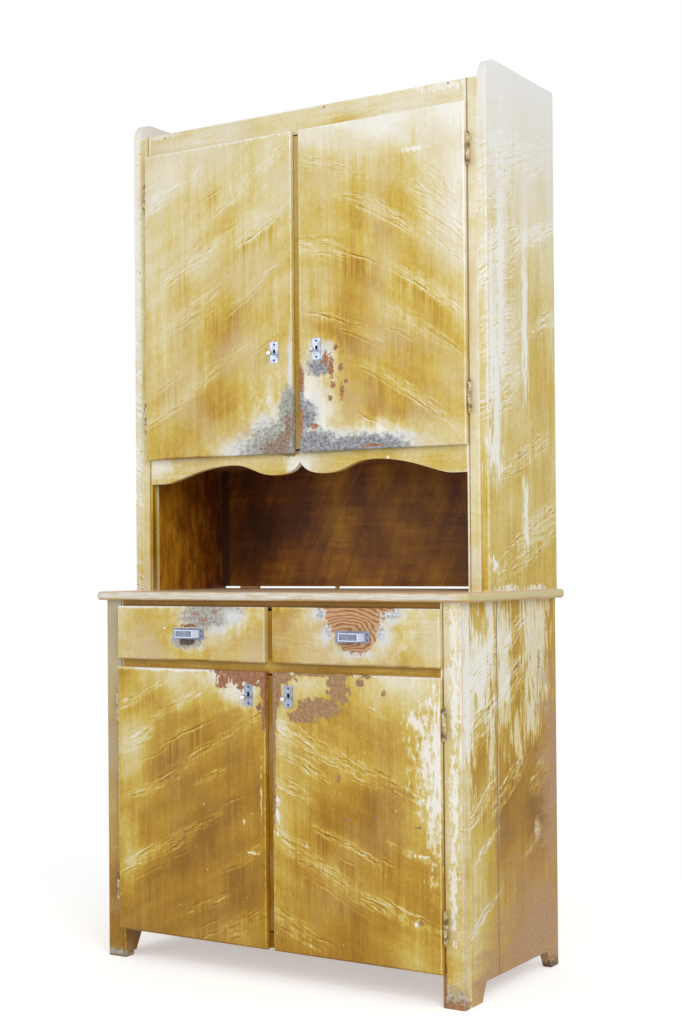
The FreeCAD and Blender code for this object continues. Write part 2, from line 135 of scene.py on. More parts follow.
# %% [markdown]
# Every pattern below is flat, like paint on a board: it needs one length along the board's face and one
# up it. The face's own corner is the zero, so that a worn place can be written as a carpenter would
# measure it, in millimetres from the lower left corner. Depth behind the face is added to the length
# along it, so a pattern runs on round the arris and is never stretched there.

# %% Coordinates on a face

DIRECTIONS = {"front": (1, 1, 0), "right": (1, 1, 0), "left": (-1, 1, 0), "back": (-1, 1, 0), "top": (1, 0, 0)}


def face_of(add, name, looks="front", start=None):
    """h = direction . place - start, v = z - start (y on a top); at holds both. Sizes are in metres."""
    low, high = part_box(name)
    first_low, first_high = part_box(start or name)
    corner = {"front": (first_low.x, first_low.y), "right": (first_high.x, first_low.y),
              "left": (first_low.x, first_low.y), "back": (first_high.x, first_high.y),
              "top": (first_low.x, 0)}[looks]
    along = DIRECTIONS[looks]
    place = add("TexCoord", out="Object")
    h = add("VectorMath:DOT_PRODUCT", place, along, out="Value")
    h = add("Math:SUBTRACT", h, along[0] * corner[0] + along[1] * corner[1])
    v = add("SeparateXYZ", place, out="Y" if looks == "top" else "Z")
    v = add("Math:SUBTRACT", v, first_low.y if looks == "top" else first_low.z)
    size = high - low
    edge = abs(first_low.y - low.y) if looks in ("left", "right") else 0.0
    return {"place": place, "h": h, "v": v, "at": add("CombineXYZ", h, v, 0.0), "edge": edge,
            "wide": size.x if looks in ("front", "back", "top") else size.y,
            "tall": size.y if looks == "top" else size.z}


# %% [markdown]
# Nearly everything on old paint is a blotch of some size: clouds in the glaze, bristle marks, the frayed
# rim of a chip. They are all the same two-way noise, stretched to a real size in metres.

# %% Blotches, bristle marks and folds


def blotches(add, at, across, up, seed, detail=2.0, rough=0.5):
    """Noise over (h / across, v / up) with sizes in mm, moved by the seed. It runs from about 0.2 to 0.8."""
    moved = add("Mapping", at, (seed * 3.71 % 41, seed * 7.13 % 37, 0.0), None,
                (1 / (across * MM), 1 / (up * MM), 1.0))
    return add("TexNoise", Vector=moved, Scale=1.0, Detail=detail, Roughness=rough, noise_dimensions="2D")


def soft_step(add, value, low, high, least=0.0, most=1.0):
    """Least below low, most above high, and a smooth rise between them."""
    return add("MapRange", value, low, high, least, most, interpolation_type="SMOOTHSTEP")


def bristles(add, at, seed, upright=True):
    """Brush lines: 3 mm marks and 17 mm bands, both far longer than wide, in patches where the brush pressed. A
    real bristle leaves 0.5 mm, which would not show from across a room."""
    total = None
    for width, length, share in ((3, 150, 0.45), (17, 230, 0.55)):
        size = (width, length) if upright else (length, width)
        line = blotches(add, at, *size, seed + width, detail=2.5)
        total = add("Math:MULTIPLY_ADD", line, share, total if total else 0.0)
    pressed = soft_step(add, blotches(add, at, 70, 110, seed + 2), 0.36, 0.60, 0.35, 1.25)
    total = add("Math:MULTIPLY", add("Math:SUBTRACT", total, 0.5), pressed)
    return add("Math:ADD", total, 0.5)


def lay_level(add, face, slope, bend, seed):
    """Turns the face so that a feather of the glaze runs level: v - slope h - bend h h + a slow wander + a jagged
    one of a few millimetres."""
    level = add("Math:MULTIPLY_ADD", face["h"], -bend, -slope)
    level = add("Math:MULTIPLY_ADD", face["h"], level, face["v"])
    for across, up, sway, detail in ((170, 120, 26, 2.0), (26, 30, 10, 5.0)):
        noise = blotches(add, face["at"], across, up, seed + across, detail, 0.6)
        noise = add("Math:MULTIPLY_ADD", noise, sway * MM, -sway * MM / 2)
        level = add("Math:ADD", level, noise)
    return add("CombineXYZ", face["h"], level, 0.0)


def folds(add, level, seed, spacing, length, width, lift):
    """Wrinkles of the glaze, in mm. A fold lies where stretched noise n crosses a half, with a height of
    P = 1 - smooth(|2n - 1| / width). P(v) - P(v + lift) is high on the fold and low just under it."""
    heights = []
    for shift in (0.0, lift):
        moved = add("VectorMath:ADD", level, (0.0, shift * MM, 0.0))
        n = blotches(add, moved, length, spacing, seed, detail=3.0, rough=0.5)
        away = add("Math:ABSOLUTE", add("Math:MULTIPLY_ADD", n, 2.0, -1.0))
        heights.append(soft_step(add, away, 0.0, width, 1.0, 0.0))
    return add("Math:SUBTRACT", heights[0], heights[1])


# %% [markdown]
# The false grain is ochre oil glaze combed over cream paint. What the eye reads is how thick the glaze lies,
# so the graph works out one number, the glaze's strength, and one ramp turns it into colour. A mix of
# finished colours would be easier to build, but then cream, ochre and brown could not blend as they do.
# Feathers cross the combing: slanting banks of thicker glaze, bundles of short ridges where it wrinkled, and a
# few long creases. Bundles and creases are listed one by one, in millimetres from the board's corner.

# %% Glaze over cream paint

GLAZE = ((0.00, "#F0EEE4"), (0.18, "#E5DDC2"), (0.36, "#DAC98C"), (0.52, "#CDB04A"), (0.68, "#BA9029"),
         (0.84, "#A57813"), (1.00, "#8E620F"))
SHADED = ((0.10, "#C48A20"), (0.45, "#91590F"), (0.70, "#6A3209"), (1.00, "#3B1404"))

RIDGES = (  # spacing and length (mm), width as a share of the noise, lift (mm), strength lost on the ridge
    (16, 120, 0.24, 3.6, 0.21),
    (10, 60, 0.30, 2.6, 0.14),
)
CREASE = ((-90, -10), (-9, -4), (-4, -1), (0, 2.2))  # where the flank, pale, middle and dark rises lie (mm)
HAIRS = ((26, 8, -0.42), (5, 80, 0.28))  # fine marks in a bundle: across and up (mm), share of the strength


def ramp_stops(ramp, stops):
    """Fills a colour ramp with (place, hex) stops."""
    while len(ramp.elements) < len(stops):
        ramp.elements.new(0.5)
    for element, (place, code) in zip(ramp.elements, stops):
        element.position = place
        element.color = paint(code)


def along_feather(places, slope, bend):
    """Moves listed (h, v, ...) in mm to the turned face: v becomes v - slope h - bend h h."""
    return [(h, v - slope * h - bend * h * h / 1000, *rest) for h, v, *rest in places]


def creases(add, level, places):
    """Long creases at (h, v, half length, weight). Down across one there is a thin dark line, a thin pale one, and
    then a dark flank that fades over 90 mm. Gives the two lines, dark less pale, and the flank."""
    lines = flank = 0.0
    for h, v, half, weight in places:
        parts = add("SeparateXYZ", add("Mapping", level, (-h / half, -v * MM, 0.0), None,
                                             (1 / (half * MM), 1.0, 1.0))).node
        gate = soft_step(add, add("Math:ABSOLUTE", parts.outputs[0]), 0.3, 1.0, weight, 0.0)
        rise = [soft_step(add, parts.outputs[1], low * MM, high * MM) for low, high in CREASE]
        dark = add("Math:SUBTRACT", rise[2], rise[3])
        pale = add("Math:SUBTRACT", rise[1], rise[2])
        one = add("Math:MULTIPLY_ADD", pale, -0.7, dark)
        lines = add("Math:MULTIPLY_ADD", one, gate, lines)
        flank = add("Math:MULTIPLY_ADD", add("Math:SUBTRACT", rise[0], rise[1]), gate, flank)
    return lines, flank


def feathers(add, face, strength, height, seed, slope, bend, amount, banks, bundles, creased):
    """Banks, then bundles of ridges that are pale above and dark below, then long creases with combed streaks
    under them. Where no bundles are placed, noise gathers the ridges."""
    level = lay_level(add, face, slope, bend, seed + 8)
    near = blotches(add, level, 260, 50, seed + 11, 2.0)
    if bundles:
        field = spots(add, {"at": level}, along_feather(bundles, slope, bend))
        near = soft_step(add, add("Math:MULTIPLY_ADD", near, 0.8, field), 0.32, 0.76)
    else:
        near = soft_step(add, near, 0.44, 0.62)
    bank = blotches(add, level, 300, 60, seed + 14, 2.5)
    strength = add("Math:MULTIPLY_ADD", add("Math:SUBTRACT", bank, 0.5), banks, strength)
    broken = soft_step(add, blotches(add, level, 50, 20, seed + 12, 3.0), 0.40, 0.62, 0.10, 1.1)
    strength = add("Math:MULTIPLY_ADD", near, -0.08 * amount, strength)
    for spacing, length, width, lift, share in RIDGES:
        ridge = folds(add, level, seed + spacing, spacing, length, width, lift)
        ridge = add("Math:MULTIPLY", add("Math:MULTIPLY", ridge, near), broken)
        strength = add("Math:MULTIPLY_ADD", ridge, -share * amount, strength)
        height = add("Math:MULTIPLY_ADD", ridge, 0.3, height)
    if creased:
        lines, flank = creases(add, level, along_feather(creased, slope, bend))
        lines = add("Math:MULTIPLY", lines, soft_step(add, broken, 0.3, 0.7, 0.5, 1.0))
        strength = add("Math:MULTIPLY_ADD", lines, 0.30, strength)
        height = add("Math:MULTIPLY_ADD", lines, -0.5, height)
        streaks = blotches(add, face["at"], 7, 240, seed + 15, 4.0)
        streaks = add("Math:MULTIPLY_ADD", streaks, 0.75, -0.25)
        strength = add("Math:MULTIPLY_ADD", flank, streaks, strength)
    for across, up, share in HAIRS:
        fine = blotches(add, level, across, up, seed + across, 4.0, 0.6)
        fine = add("Math:MULTIPLY", add("Math:SUBTRACT", fine, 0.5), near)
        strength = add("Math:MULTIPLY_ADD", fine, share * amount, strength)
        height = add("Math:MULTIPLY_ADD", fine, 0.3, height)
    return strength, height


def glaze(add, face, tone, seed, slope=0.0, bend=0.0, feather=1.0, banks=0.30, clouds=0.34, comb=0.38,
          upright=True, bundles=(), creased=()):
    """Strength of the glaze, and its height for bump. tone is its strength at the foot and at the top; a paler top
    is partly painted light, the brighter light higher on the case.
    """
    lines = bristles(add, face["at"], seed, upright)
    patterns = ((lines, comb), (blotches(add, face["at"], 110, 170, seed + 5, 2.5), clouds),
                (blotches(add, face["at"], 9, 12, seed + 6, 4.0, 0.65), 0.22))
    strength = add("MapRange", face["v"], 0.0, face["tall"], tone[0], tone[1])
    for pattern, share in patterns:
        strength = add("Math:MULTIPLY_ADD", pattern, share, add("Math:SUBTRACT", strength, share / 2))
    height = add("Math:MULTIPLY", lines, 0.35)
    if feather:
        return feathers(add, face, strength, height, seed, slope, bend, feather, banks, bundles, creased)
    return strength, height


def glaze_colour(add, strength, stops=GLAZE):
    """The ramp from bare cream to the deepest ochre, or the darker one of the niche."""
    colour = add("ValToRGB", strength)
    ramp_stops(colour.node.color_ramp, stops)
    return colour


# %% [markdown]
# Wear is laid over the glaze in coats. Each coat has a field, which is 1 in the middle of the worn place and
# 0 at its rim, and noise frays it. Soft noise with a wide rim gives rubbed paint, and fine noise with a
# hard rim gives a chip. Rubbing only takes strength from the glaze, so the cream under it shows, and worn
# paint has two colours of its own. The fields are listed ellipses, and the distance to the arris.

# %% Wear

RUBBED = {  # glaze that has gone: blotch across and up (mm), fraying, softness of the rim, start, strength lost
    "bare": ((8, 20), 2.0, 0.30, 0.48, 0.54),
    "combed": ((9, 70), 1.5, 0.30, 0.30, 0.46),
    "halo": ((30, 38), 0.8, 0.55, 0.26, 0.42),
    "mottled": ((13, 26), 1.6, 0.35, 0.70, 0.44),
}
WORN = {  # paint that has gone: light and dark colour, blotch across and up (mm), fraying, softness, start
    "white": (("#E0E2E2", "#D4D7D9"), (26, 30), 0.70, 0.60, 0.40),
    "grey": (("#B9BABC", "#77757A"), (16, 12), 0.60, 0.26, 0.12),
    "rust": (("#B5825C", "#8E5A39"), (6, 8), 1.10, 0.10, 0.30),
    "stain": (("#BE9970", "#AD855F"), (150, 24), 0.90, 0.60, 0.30),
    "wood": (("#B39068", "#94704B"), (17, 19), 0.95, 0.06, 0.06),
    "pine": (("#D0A578", "#97603A"), (10, 12), 0.35, 0.07, 0.20),
}


def spots(add, face, places, square=False):
    """The largest of 1 - |(at - centre) / radii| over ellipses given as (h, v, radius, radius) in mm. A square one
    takes the larger side in place of the length, so its sides are straight."""
    field = None
    for h, v, wide, tall in places:
        moved = add("Mapping", face["at"], (-h / wide, -v / tall, 0.0), None,
                    (1 / (wide * MM), 1 / (tall * MM), 1.0))
        length = add("VectorMath:LENGTH", moved, out="Value")
        if square:
            parts = add("SeparateXYZ", add("VectorMath:ABSOLUTE", moved)).node
            length = add("Math:MAXIMUM", parts.outputs[0], parts.outputs[1])
        one = add("Math:SUBTRACT", 1.0, length)
        field = add("Math:MAXIMUM", field, one) if field else one
    return field


def rim(add, face, width):
    """1 on the arris of the board and 0 at width from it: 1 - min(|h|, |wide - h|, |v|, |tall - v|) / width."""
    half = (face["wide"] / 2, face["tall"] / 2, 0.0)
    middle = (face["edge"] + half[0], half[1], 0.0)
    away = add("VectorMath:ABSOLUTE", add("VectorMath:SUBTRACT", face["at"], middle))
    away = add("VectorMath:ABSOLUTE", add("VectorMath:SUBTRACT", away, half))
    parts = add("SeparateXYZ", away).node
    nearest = add("Math:MINIMUM", parts.outputs[0], parts.outputs[1])
    return add("MapRange", nearest, 0.0, width, 1.0, 0.0, clamp=False)


def frayed(add, face, field, size, fraying, softness, start, seed, most=1.0):
    """1 where the field + fraying (2n - 1) passes the start, with a rim as soft as asked."""
    n = blotches(add, face["at"], size[0], size[1], seed, detail=6.0, rough=0.68)
    level = add("Math:MULTIPLY_ADD", n, 2 * fraying, add("Math:SUBTRACT", field, fraying + start))
    return soft_step(add, level, -softness, softness, 0.0, most)


def chips(add, face, under, code, across, up, rarity, seed):
    """Small irregular chips where fine noise is near its highest, and only in some parts of the board."""
    fine = blotches(add, face["at"], across, up, seed, 3.0, 0.55)
    some = soft_step(add, blotches(add, face["at"], 90, 120, seed + 1, 2.0), 0.45, 0.62, -0.10, 0.0)
    mask = soft_step(add, add("Math:ADD", fine, some), rarity, rarity + 0.025)
    return add("MixRGB", mask, under, paint(code))


def behind(add, face, under, over, axis, at, upward=True, soft=0.2 * MM):
    """Another colour or height where the place along an axis is past a plane: the inside of a board."""
    place = add("SeparateXYZ", face["place"], out=axis)
    ends = (at - soft, at + soft) if upward else (at + soft, at - soft)
    return add("MixRGB", add("MapRange", place, *ends, 0.0, 1.0), under, over)


# %% [markdown]
# Bare boards are planed pine, inside the cupboards and where a hand has worn through the paint. Pine shows
# growth rings: pale early wood that darkens slowly and ends in a thin brown line. The rings are cylinders
# about a heart line, so a sawtooth of the distance to that line, warped by noise, draws straight grain on a
# board's edge and arches on its face.

# %% Pine rings


def pine_rings(add, at, heart, squash, ring, seed, sway=14 * MM):
    """Sawtooth of |((h, v) - heart) / squash| / ring, with noise added before the length is taken."""
    moved = add("Mapping", at, (-heart[0] / squash[0], -heart[1] / squash[1], 0.0), None,
                (1 / squash[0], 1 / squash[1], 1.0))
    warp = blotches(add, at, 60, 30, seed, 3.0)
    length = add("VectorMath:LENGTH", moved, out="Value")
    length = add("Math:MULTIPLY_ADD", warp, sway, length)
    saw = add("Math:FRACT", add("Math:DIVIDE", length, ring))
    late = soft_step(add, saw, 0.35, 0.86)
    turn = soft_step(add, saw, 0.90, 1.0, 1.0, 0.0)
    return add("Math:MULTIPLY", late, turn)


def planed(add, at, heart, squash, seeds, upright=True, light="#D9B27C", dark="#A9743F"):
    """Colour and grain of planed pine: half the rings, 9 mm apart, and 0.7 of the fibre lines."""
    rings = pine_rings(add, at, heart, squash, 9 * MM, seeds[0])
    fibre = bristles(add, at, seeds[1], upright)
    grain = add("Math:MULTIPLY_ADD", rings, 0.5, add("Math:MULTIPLY_ADD", fibre, 0.7, -0.12))
    return add("MixRGB", grain, paint(light), paint(dark)), grain


# %% [markdown]
# One function paints a grained board from top to bottom of the stack: glaze, worn coats, nicks, and then
# satin varnish. The board's own look is a few numbers, kept in tables, so that doors, drawers, posts and
# sides share the code and still all differ.

# %% A grained board


GLAZE_KEYS = ("slope", "bend", "feather", "banks", "clouds", "comb", "upright", "bundles", "creased")
FLAT = (0.0, 0.0, 0.0, 1.0)
MILK = "#D6C6A6"


def rub_away(add, face, strength, look):
    """The strength after the listed shades, which may add to it, then the rubbed places and the arris."""
    seed = look["seed"]
    for share, places in look.get("shades", {}).items():
        soft = add("Math:MAXIMUM", spots(add, face, places), 0.0)
        strength = add("Math:MULTIPLY_ADD", soft, share, strength)
    for number, (kind, (size, fraying, softness, start, lost)) in enumerate(RUBBED.items()):
        if kind in look:
            field = spots(add, face, look[kind], square=kind == "combed")
            mask = frayed(add, face, field, size, fraying, softness, start, seed + 30 + number)
            strength = add("Math:MULTIPLY_ADD", mask, -lost, strength)
    if "edge" in look:
        mask = frayed(add, face, rim(add, face, look["edge"] * MM), (12, 12), 1.2, 0.40, 0.50, seed + 40)
        strength = add("Math:MULTIPLY_ADD", mask, -0.22, strength)
    return strength


def lay_bloom_and_painted_light(add, face, colour, look):
    """A milky bloom in patches, and a colour that changes evenly from the foot to the top: grime or bleached
    varnish on some boards, painted shade on the lower top rail in the gap under the worktop, and painted light that
    whitens the top of the upper right side.
    """
    patches = blotches(add, face["at"], 150, 190, look["seed"] + 9, 3.0)
    colour = add("MixRGB", soft_step(add, patches, 0.42, 0.70, 0.0, look.get("milk", 0.35)), colour, paint(MILK))
    if "dirt_and_painted_light" in look:
        code, foot, top = look["dirt_and_painted_light"]
        dirt_and_light_share = add("Math:MINIMUM", add("MapRange", face["v"], 0.0, face["tall"], foot, top), 0.92)
        colour = add("MixRGB", dirt_and_light_share, colour, paint(code))
    return colour


def lay_worn(add, face, colour, height, worn, seed):
    """Lays the worn coats over a colour, in order: (kind, ellipses) or (kind, ellipses, light, dark)."""
    fine = blotches(add, face["at"], 9, 7, seed + 3, detail=5.0, rough=0.7)
    fine = soft_step(add, fine, 0.30, 0.70)
    specks = soft_step(add, blotches(add, face["at"], 6, 5, seed + 4, 4.0, 0.6), 0.58, 0.74, 0.0, 0.55)
    for number, (kind, places, *codes) in enumerate(worn):
        own, size, fraying, softness, start = WORN[kind]
        light, dark = [paint(code) for code in codes or own]
        mask = frayed(add, face, spots(add, face, places), size, fraying, softness, start, seed + 50 + number)
        over = add("MixRGB", fine, light, dark)
        if kind == "pine":
            rings = pine_rings(add, face["at"], (180 * MM, 62 * MM), (2.2, 1.0), 7.2 * MM, seed, 20 * MM)
            fibre = bristles(add, face["at"], seed + 9, upright=False)
            over = add("MixRGB", add("Math:MULTIPLY_ADD", fibre, 0.25, rings), light, dark)
        if kind == "grey":
            over = add("MixRGB", specks, over, paint("#59565A"))
        if kind in ("wood", "pine"):
            height = add("Math:MULTIPLY_ADD", mask, -0.6, height)
        colour = add("MixRGB", mask, colour, over)
    return colour, height


def lay_seams(add, face, colour, height, seams):
    """Dark lines at h (mm), 1.2 mm wide with soft rims, pressed in. Where one runs on the frame beside a door, or
    where a door's edge meets the frame, it is partly grime and partly painted shade in the gap; on the lower sides
    it is the joint of two boards.
    """
    for seam, code in seams:
        away = add("Math:ABSOLUTE", add("Math:SUBTRACT", face["h"], seam * MM))
        line = add("MapRange", away, 0.6 * MM, 1.9 * MM, 0.85, 0.0)
        colour = add("MixRGB", line, colour, paint(code))
        height = add("Math:SUBTRACT", height, line)
    return colour, height


def lay_inside(add, face, colour, look):
    """The other side of a board: dark glaze in the niche, bare pine above its ceiling, and cream on the horn. On
    the niche walls the glaze darkens towards the back, partly as painted shade deeper in the recess.
    """
    seed = look["seed"]
    glaze_and_shade_to_back = add("MapRange", face["h"], 0.05, 0.33, *look["niche"])
    mottled = blotches(add, face["at"], 26, 70, seed + 60, 5.0, 0.66)
    dark = glaze_colour(add, add("Math:MULTIPLY_ADD", mottled, 1.1, glaze_and_shade_to_back), SHADED)
    pale, _ = planed(add, face["at"], (150 * MM, 500 * MM), (1.0, 12.0), (seed, seed + 20))
    inner = behind(add, face, dark, pale, "Z", look["ceiling"])
    if "above" in look:
        colour = behind(add, face, colour, pale, "Z", look["above"])
    if "horn" in look:
        inner = behind(add, face, inner, paint("#E9E8E2"), "Z", look["horn"])
    return behind(add, face, colour, inner, *look["inside"])


def grained(name, node, look):
    """Builds the material of one board from its look, and covers the node with it."""
    material, add = new_material(name)
    face = face_of(add, node, look.get("looks", "front"), look.get("start"))
    seed = look["seed"]
    options = {key: look[key] for key in GLAZE_KEYS if key in look}
    strength, height = glaze(add, face, look["tone"], seed, **options)
    strength = rub_away(add, face, strength, look)
    colour = lay_bloom_and_painted_light(add, face, glaze_colour(add, strength, look.get("ramp", GLAZE)), look)
    if "edge" in look:
        for code, across, up, step in (("#8C6A48", 8, 11, 21), ("#F2EDDD", 7, 9, 24)):
            colour = chips(add, face, colour, code, across, up, look.get("rarity", 0.76), seed + step)
    colour, height = lay_worn(add, face, colour, height, look.get("worn", ()), seed)
    colour, height = lay_seams(add, face, colour, height, look.get("seams", ()))
    # The dark spot on the door behind the latch plate's slot is painted shade, the dark inside the lock.
    if "hole" in look:
        colour = add("MixRGB", soft_step(add, spots(add, face, look["hole"]), 0.0, 0.1), colour, paint("#17110D"))
    if "lining" in look:
        plain = add("MixRGB", soft_step(add, strength, 0.2, 0.9), paint("#DCC79A"), paint("#BF9A62"))
        colour = behind(add, face, colour, plain, *look["lining"])
        height = behind(add, face, height, FLAT, *look["lining"])
    if "inside" in look:
        colour = lay_inside(add, face, colour, look)
        height = behind(add, face, height, FLAT, *look["inside"])
    close(add, colour, height, 0.35 * MM, Roughness=0.42, IOR=1.5, Specular_IOR_Level=look.get("polish", 0.35))
    cover(material, node)


# %% [markdown]
# The doors and drawers. Each look gives the glaze at foot and top, where a paler top is partly painted light, the
# run of the feathers (slope and bend), their bundles and creases, and the worn places that hands have made: round
# the latches, at the low inner corners of the upper doors and above the pulls, with a painted shadow under the left
# pull.
# Their rear faces are plain glaze, and the slot of each latch plate shows a dark spot of painted shade on the door
# behind it.

# %% Doors and drawers



def mm(text):
    """Places in mm from text: "h v radius radius" for an ellipse, "h v length weight" for a crease."""
    return [tuple(float(number) for number in place.split()) for place in text.split(",")]


FRONTS = {
    "upper_door_left": dict(
        seed=3, tone=(0.56, 0.29), slope=0.42, bend=0.25, feather=0.8, edge=5, seams=((433, "#8A5C34"),),
        bundles=mm("120 450 90 34, 140 345 100 34, 330 515 100 22, 310 380 80 24, 210 205 120 22, "
            "70 625 110 22, 340 650 110 14, 60 110 90 16, 250 590 60 14"),
        creased=mm("325 505 92 1.0, 285 352 66 0.9, 195 612 26 0.8, 340 246 60 0.7, 70 180 56 0.8, "
            "110 318 50 0.6, 100 440 60 0.5, 190 343 26 0.6, 265 535 40 0.5"),
        shades={0.16: mm("250 330 130 230, 210 110 150 90"), 0.8: mm("150 0 200 5"), -0.14: mm("30 300 70 300, "
            "372 190 80 80, 40 640 160 120")}, halo=mm("425 20 140 140, 330 0 150 60"),
        bare=mm("413 90 5 90, 210 724 280 5"), worn=[("white", mm("280 12 84 40, 345 66 50 34, 414 180 8 120")),
              ("grey", mm("396 0 128 80, 412 92 32 64"), "#B7B8B2", "#858479"),
              ("rust", mm("376 14 54 24, 410 56 16 52, 396 34 28 20"), "#A68C7C", "#77604F")]),
    "upper_door_right": dict(
        seed=14, tone=(0.56, 0.40), slope=-0.16, bend=-0.80, feather=0.8, edge=5, seams=((433, "#8A5C34"),),
        bundles=mm("60 455 80 34, 220 510 110 30, 320 350 100 26, 120 280 120 18, 330 250 100 26, "
            "280 125 140 22, 90 630 120 20, 365 500 70 100"),
        creased=mm("150 428 80 1.0, 305 350 80 0.8, 150 252 66 0.7, 265 247 50 0.7, 240 137 110 0.6, "
            "180 68 50 0.7, 200 512 80 0.7, 70 302 80 0.6"),
        # The pale band across the top of this door, -0.56 about 210 765, is painted light, the brighter light high
        # on the case.
        shades={0.16: mm("170 330 170 200, 200 110 110 110"), -0.56: mm("210 765 440 140"),
            -0.40: mm("425 560 120 330, 220 10 330 60, 40 90 90 110")},
        bare=mm("300 640 40 6, 239 706 9 11, 210 724 280 5"),
        halo=mm("25 60 70 150, 110 10 220 56, 60 205 60 50"),
        worn=[("white", mm("42 92 20 50, 90 36 50 18, 68 222 24 26, 230 22 110 14")),
              ("grey", mm("16 8 110 50, 160 -2 140 40, 12 80 36 38, 0 120 14 90, 52 188 36 21"), "#B0B2B8",
                  "#68666A"),
              ("rust", mm("2 66 12 50, 5 165 11 34, 40 57 16 9, 190 8 40 5, 70 205 12 22, 84 186 10 36, "
                  "98 228 9 10, 110 183 10 10, 89 146 10 11, 112 131 8 22, 82 117 7 9, 124 152 7 8"),
                  "#B5825C", "#8A5738")]),
    "lower_door_left": dict(
        seed=27, tone=(0.87, 0.65), slope=0.46, bend=0.05, feather=1.0, edge=5, rarity=0.74, milk=0.04,
        comb=0.36, seams=((429, "#84522B"),),
        bundles=mm("60 440 70 26, 120 350 110 20, 240 425 110 18, 270 375 60 12, 120 195 130 24, "
            "260 270 70 16, 60 540 110 16, 170 520 90 20, 350 490 80 18, 330 40 110 26, 260 85 70 14, "
            "360 200 60 20"),
        creased=mm("195 462 100 1.0, 110 412 60 0.6, 325 325 34 0.8, 255 272 50 0.6, 345 182 60 0.7, "
            "180 190 40 0.7, 80 560 80 0.5, 240 88 44 0.7, 250 40 50 0.5, 90 140 70 0.5"),
        shades={-0.40: mm("40 420 110 190, 250 590 260 90, 30 180 60 140"), 0.14: mm("270 300 180 190"),
            -0.14: mm("330 20 140 60"), 0.8: mm("200 0 400 5")},
        bare=mm("375 208 20 4, 404 330 3 90, 356 275 4 10"),
        halo=mm("350 600 120 34, 180 607 260 8, 345 560 60 50"),
        worn=[("wood", mm("366 610 92 36, 414 580 14 34, 416 560 8 60"), "#B07E5A", "#8A5A3E"),
              ("rust", mm("412 500 8 40, 300 580 22 20, 400 528 12 12, 350 570 12 14"), "#A87A55", "#8A5C3C")]),
    "lower_door_right": dict(
        seed=38, tone=(0.76, 0.60), slope=-0.44, bend=0.10, feather=1.15, edge=5, rarity=0.73, milk=0.08,
        comb=0.42, seams=((429, "#84522B"),),
        bundles=mm("90 455 110 30, 250 402 150 26, 380 355 60 16, 60 350 60 26, 90 405 80 18, 130 190 130 28, "
            "60 245 60 16, 190 245 100 14, 320 115 120 18, 60 55 90 34, 270 525 36 8, 350 238 80 8, "
            "220 135 90 14"),
        creased=mm("125 268 30 0.8, 188 216 28 0.9, 288 221 20 1.0, 180 128 90 0.6, 110 160 50 0.5, "
            "230 385 60 0.5, 310 392 70 0.4, 120 45 60 0.5"),
        shades={-0.42: mm("320 600 150 90, 100 586 130 72"), -0.26: mm("400 430 100 240, 20 490 50 80"),
            -0.20: mm("20 300 50 300, 360 20 120 80"), 0.12: mm("230 300 120 170"), 0.8: mm("200 0 400 5")},
        bare=mm("360 515 34 18, 12 300 8 50, 370 238 26 4, 355 98 6 12"),
        mottled=mm("384 450 66 190, 400 330 40 240"), combed=mm("408 460 8 120"),
        worn=[("wood", mm("18 602 46 24, 4 540 9 80, 170 578 28 42, 124 534 62 21, 80 512 38 17, 120 607 80 8, "
            "3 440 6 80")),
              ("rust", mm("225 590 16 12, 283 569 8 8, 240 603 18 7, 4 330 6 70, 170 385 7 10, 190 298 14 3, "
                  "16 560 12 40, 365 297 14 3, 262 310 8 3, 368 100 7 9"), "#A98663", "#8F6848")]),
    "drawer_front_left": dict(
        seed=49, tone=(0.55, 0.50), slope=0.10, feather=0.35, edge=4, comb=0.24, milk=0.60,
        shades={-0.20: mm("10 60 60 200"), 0.10: mm("360 40 80 100, 60 60 60 80"), 0.9: mm("210 0 400 5")},
        bare=mm("137 73 4 4"), halo=mm("270 96 116 54, 207 52 66 34, 60 122 200 6"),
        worn=[("grey", mm("262 102 84 34, 207 44 50 20, 310 112 60 14"), "#C4C0B4", "#8F8A84"),
              ("white", mm("330 100 40 24, 290 70 30 14")),
              ("rust", mm("248 92 18 9, 228 106 16 7, 280 112 10 8"), "#B39284", "#957467"),
              ("rust", mm("208 79 30 5"), "#A87A4A", "#7A5230"),
              # The dark patch just under the pull, laid with the worn wood coat, is a painted shadow of the pull.
              ("wood", mm("206 43 27 10"), "#705848", "#4C392E")]),
    "drawer_front_right": dict(
        seed=55, tone=(0.60, 0.60), slope=-0.10, feather=0.35, edge=4, comb=0.24, milk=0.50,
        shades={-0.30: mm("410 60 120 110"), 0.14: mm("40 100 90 60"), 0.9: mm("210 0 400 5")},
        halo=mm("205 125 170 62, 225 72 126 80"),
        worn=[("white", mm("298 108 40 30, 118 112 34 26, 140 66 18 34, 284 66 22 34, 220 26 70 12")),
              ("grey", mm("300 112 24 14, 128 110 18 13, 148 74 10 18, 276 72 12 20"), "#E6E8EA", "#A5A4A6"),
              ("pine", mm("218 137 140 38, 210 100 86 54, 215 62 62 46, 190 141 250 9"))]),
}
for name, look in FRONTS.items():
    look["lining"] = ("Y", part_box(name)[1].y - 0.3 * MM)
    if "door" in name:
        case, _, side = name.split("_")
        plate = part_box(f"{case}_latch_plate_{side}")
        away = ((plate[0] + plate[1]) / 2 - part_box(name)[0]) / MM
        look["hole"] = [(away.x, away.z, 8, 16)]
    grained(f"grained_oil_glaze_{name}", name, look)
print("grained fronts:", len(FRONTS))
